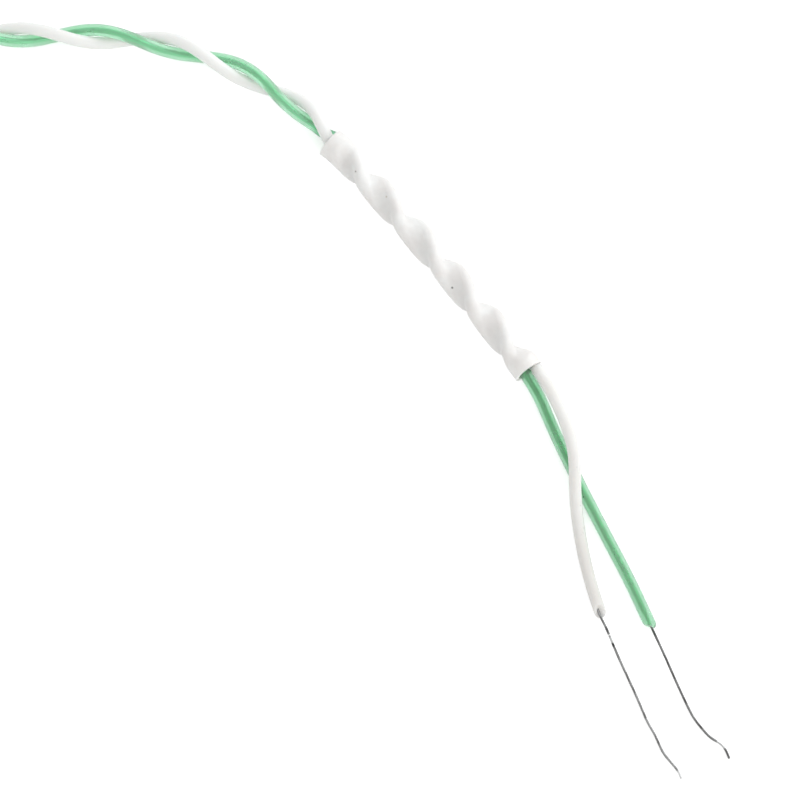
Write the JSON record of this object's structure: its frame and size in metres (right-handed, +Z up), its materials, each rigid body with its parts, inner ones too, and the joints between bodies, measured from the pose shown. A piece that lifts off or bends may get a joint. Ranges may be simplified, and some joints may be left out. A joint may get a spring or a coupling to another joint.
{
  "type": "thermocouple probe",
  "caption": "Fine wire thermocouple probe: green and white insulated cores laid as a twisted pair, coiled and tied, with a shrunk sleeve, stripped tails and a welded junction.",
  "frame": {"origin": "middle of the base of the sleeve, the insulated cores and the conductors, on the surface the probe lies on", "axes": "+Z up from the surface, +X along the straight lead as it leaves the coil towards the sleeve, +Y to the left of it; the sleeve and the tails turn off to the right, towards -Y"},
  "size_m": [0.0985, 0.0626, 0.0083],
  "materials": {
    "sleeve": "satin white shrink tubing",
    "green_insulation": "glossy, slightly translucent green",
    "white_insulation": "glossy, slightly translucent white",
    "bare_wire": "dull drawn nickel alloy",
    "coiled_pair": "green and white cores side by side",
    "tie": "plain white plastic coated wire"
  },
  "bodies": {
    "root": {"shrink_sleeve": "sleeve", "green_insulation": "green_insulation", "white_insulation": "white_insulation", "positive_conductor": "bare_wire", "negative_conductor": "bare_wire", "lead_coil": "coiled_pair", "coil_tie": "tie", "hot_end_green_insulation": "green_insulation", "hot_end_white_insulation": "white_insulation", "measuring_junction": "bare_wire"}
  },
  "joints": []
}
